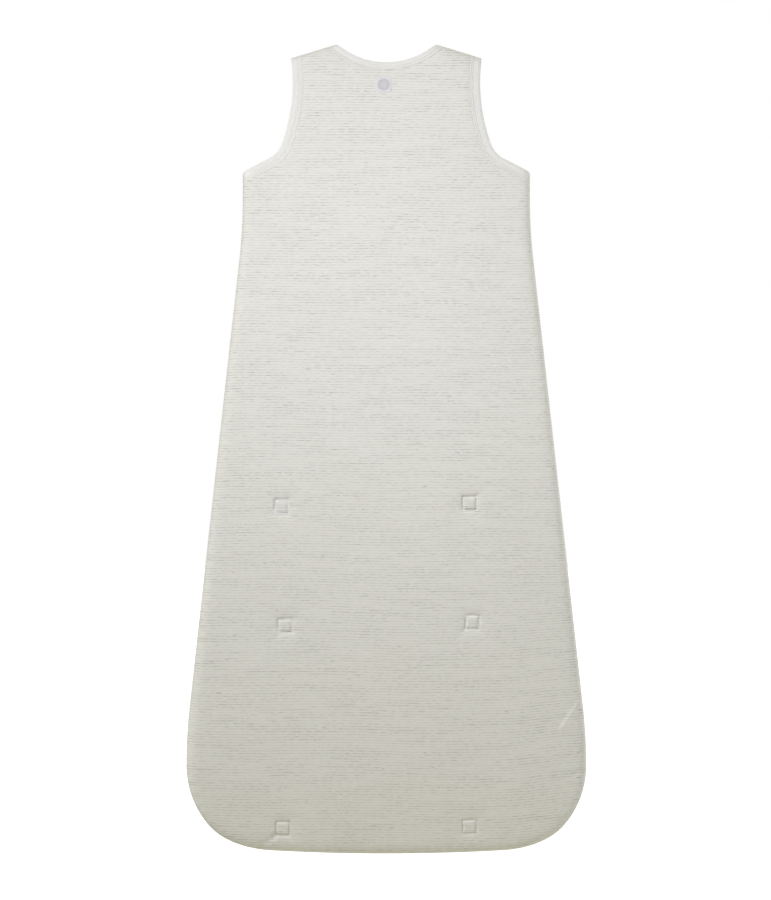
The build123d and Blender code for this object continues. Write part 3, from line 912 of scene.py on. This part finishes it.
# Zip
TAPE_X = (0.15, 13.6)
TAPE_S = (66.0, 806.0)
TAPE_Z = (-1.15, -1.75)  # its two faces, seen from the front panel's own face
TEETH_S = (75.0, 797.6)
TEETH_Z = -1.5
TOOTH_PITCH = 1.5
TOOTH_SHAPE = ((-0.85, 0.55), (-0.6, 0.9), (0.0, 1.0), (1.6, 0.92), (3.0, 0.85), (3.3, 0.5))  # x, thickness
for name, side in SIDES:
    rings, cloth = [], []
    for s in np.linspace(*TAPE_S, 150):
        ring = []
        for xs, z in ((TAPE_X, TAPE_Z[0]), (TAPE_X[::-1], TAPE_Z[1])):
            for x in np.linspace(*xs, 6):
                ring.append(front_point(side * x, s, z) / MM)
                cloth.append((x * MM, s * MM, 0))
        rings.append(np.array(ring))
    points, faces = tube(rings)
    piece = make_object(f"{name}_zip_cloth", points, faces, TAPE, 60, cloth)
    fold(piece)
    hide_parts(f"{name}_zip_tape", "zip_tape_ends")

    pile = Pile()
    first = TEETH_S[0] + (0 if side > 0 else TOOTH_PITCH / 2)
    for s in np.arange(first, TEETH_S[1], TOOTH_PITCH):
        rings = []
        for x, fat in TOOTH_SHAPE:
            ring = []
            for turn in np.linspace(0, 2 * pi, 8, endpoint=False):
                z = TEETH_Z + 1.15 * fat * sin(turn)
                ring.append(front_point(side * x, s + 0.42 * fat * cos(turn), z) / MM)
            rings.append(np.array(ring))
        pile.add(*tube(rings))
    piece = pile.make(f"{name}_zip_teeth", NYLON)
    fold(piece)
    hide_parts(f"{name}_zip_coil", "zip_coil_ends")


# Labels
LABEL_STEP = 0.8  # spacing of a label's points


def label(name, centre, size, face, inner, cad_node, thickness, material=LABEL, corner=2.0):
    """A woven label that follows the cloth: a crowned sheet with rounded corners."""
    wide, tall = size
    columns = max(12, int(wide / LABEL_STEP))
    rows = max(12, int(tall / LABEL_STEP))
    u, v = np.meshgrid(np.linspace(-1, 1, columns), np.linspace(-1, 1, rows))
    u, v = u.ravel() * wide / 2, v.ravel() * tall / 2
    du = np.maximum(abs(u) - (wide / 2 - corner), 0)
    dv = np.maximum(abs(v) - (tall / 2 - corner), 0)
    far = np.hypot(du, dv)
    pull = np.where(far > corner, corner / np.maximum(far, 1e-9), 1)
    x = np.sign(u) * (np.minimum(abs(u), wide / 2 - corner) + du * pull)
    z = np.sign(v) * (np.minimum(abs(v), tall / 2 - corner) + dv * pull)
    rim = np.minimum(wide / 2 - abs(x), tall / 2 - abs(z))
    lift = thickness * (0.55 + 0.45 * smooth(rim / 1.5)) + 0.25 * smooth(rim / 5)
    p = np.stack([centre[0] + x, -centre[1] + z], 1)
    outer, under = depths(p, face)
    sign = -1 if face == "back" else 1
    top = (under - lift if inner else outer + lift) * sign
    low = (under - 0.02 if inner else outer + 0.02) * sign
    n = len(p)
    faces = []
    for r in range(rows - 1):
        for c in range(columns - 1):
            i = r * columns + c
            quad = (i, i + 1, i + 1 + columns, i + columns)
            faces += [quad, tuple(k + n for k in quad[::-1])]
    edge = list(range(columns)) + [r * columns + columns - 1 for r in range(1, rows)]
    edge += [(rows - 1) * columns + c for c in range(columns - 2, -1, -1)]
    edge += [r * columns for r in range(rows - 2, 0, -1)]
    for a, b in zip(edge, edge[1:] + edge[:1]):
        faces.append((b, a, a + n, b + n))
    points = np.vstack([np.stack([p[:, 0], top, p[:, 1]], 1), np.stack([p[:, 0], low, p[:, 1]], 1)])
    flat = np.stack([x, z, np.zeros(n)], 1) * MM
    piece = make_object(name, points, faces, material, 40, np.vstack([flat, flat]))
    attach(piece, "bag")
    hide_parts(cad_node)


label("neck_patch", (-3.0, 46.0), (18.0, 18.0), "back", False, "back_neck_patch", 0.7, PATCH, 4.0)
label("size_tag", (0.0, 40.0), (25.0, 14.0), "back", True, "size_label", 0.4)
label("care_tag", (-150.0, 560.0), (30.0, 50.0), "back", True, "care_label", 0.5)


# CAD parts that stay as they are
for cad_node in ("left_zip_top_stop", "right_zip_top_stop", "zip_bottom_stop", "zip_slider", "zip_pull_tab"):
    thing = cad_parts[cad_node]
    thing.data.materials.clear()
    thing.data.materials.append(ENAMEL)


for (panel, layer), piece in LAYER_PIECES.items():
    if layer == "padding":
        continue
    edge = panel_outline("back" if panel == "back" else "front", MESHING["jersey"][0])


# Floor, light and camera
FLOOR_GLOW = 0.72  # keeps the floor as pale as the background right to the horizon
FLOOR_REACH = 6.0
FLOOR_Z = -0.915
floor_mesh = bpy.data.meshes.new("floor")
corners = [(x * FLOOR_REACH, y * FLOOR_REACH, FLOOR_Z) for x, y in ((-1, -1), (1, -1), (1, 1), (-1, 1))]
floor_mesh.from_pydata(corners, [], [(0, 1, 2, 3)])
floor = bpy.data.objects.new("floor", floor_mesh)
bpy.context.scene.collection.objects.link(floor)
floor_paint, floor_tree, floor_shader = new_material("pale_floor", roughness=1.0, specular=0.0)
floor_shader.inputs["Base Color"].default_value = (0.92, 0.92, 0.92, 1)
floor_shader.inputs["Emission Color"].default_value = (1, 1, 1, 1)
floor_shader.inputs["Emission Strength"].default_value = FLOOR_GLOW
floor_mesh.materials.append(floor_paint)
floor.visible_diffuse = False  # so that it doesn't light the bag from below
floor.visible_shadow = False  # so that it doesn't hide the low light


SUN_COLOUR = (1, 0.985, 0.93)


def add_light(name, kind, direction, power, colour):
    """A light that shines in a direction."""
    data = bpy.data.lights.new(name, kind)
    data.energy = power
    data.color = colour
    light = bpy.data.objects.new(name, data)
    bpy.context.scene.collection.objects.link(light)
    light.rotation_euler = Vector(direction).to_track_quat("-Z", "Y").to_euler()
    return light


def area_light(name, place, target, size, power, colour=(1, 1, 1)):
    """A soft round lamp that the camera doesn't see."""
    light = add_light(name, "AREA", Vector(target) - Vector(place), power, colour)
    light.data.shape = "DISK"
    light.data.size = size
    light.location = place
    light.visible_camera = False


def sun(name, direction, strength, softness):
    """A warm even light, where softness is its width in degrees."""
    light = add_light(name, "SUN", direction, strength, SUN_COLOUR)
    light.data.angle = radians(softness)


CHEST = (0, 0, -0.13)
WAIST = (0, 0, -0.5)
FEET = (0, 0, -0.8)
RIM = {"back": 1.1, "front": 0.36}  # lights each face's edges from low on its right
for side, way in (("back", -1), ("front", 1)):
    area_light(f"{side}_soft", (0.12 * way, 0.75 * way, CHEST[2]), CHEST, 0.6, 3.08, (0.925, 0.925, 1))
    area_light(f"{side}_fill", (-1.3 * way, 0.4 * way, WAIST[2]), WAIST, 0.8, 2.1)
    area_light(f"{side}_low", (0, 0.4 * way, -1.5), FEET, 0.6, 0.45, (1, 0.93, 0.2))
    sun(f"{side}_key", (-way, -way, -1.0), 1.4, 24)
    sun(f"{side}_rim", (0.75 * way, -0.03 * way, 0.65), RIM[side], 30)

world = bpy.data.worlds.new("studio")
bpy.context.scene.world = world
world.use_nodes = True
tree = world.node_tree
tree.nodes.clear()
path = node(tree, "ShaderNodeLightPath")
seen = node(tree, "ShaderNodeBackground", {"Color": (1, 1, 1, 1), "Strength": 1.0})
around = node(tree, "ShaderNodeBackground", {"Color": (1, 0.97, 0.88, 1), "Strength": 0.18})
either = {0: path.outputs["Is Camera Ray"], 1: around.outputs[0], 2: seen.outputs[0]}
both = node(tree, "ShaderNodeMixShader", either)
node(tree, "ShaderNodeOutputWorld", {"Surface": both.outputs[0]})

CAMERA = (-0.001, -2.368, -0.4505)
LENS = 85
SENSOR = 36
camera_data = bpy.data.cameras.new("camera")
camera_data.lens = LENS
camera_data.sensor_width = SENSOR
camera = bpy.data.objects.new("camera", camera_data)
bpy.context.scene.collection.objects.link(camera)
camera.location = CAMERA
camera.rotation_euler = (radians(90), 0, 0)
bpy.context.scene.camera = camera
bpy.context.scene.view_settings.view_transform = "Standard"

bpy.context.view_layer.update()
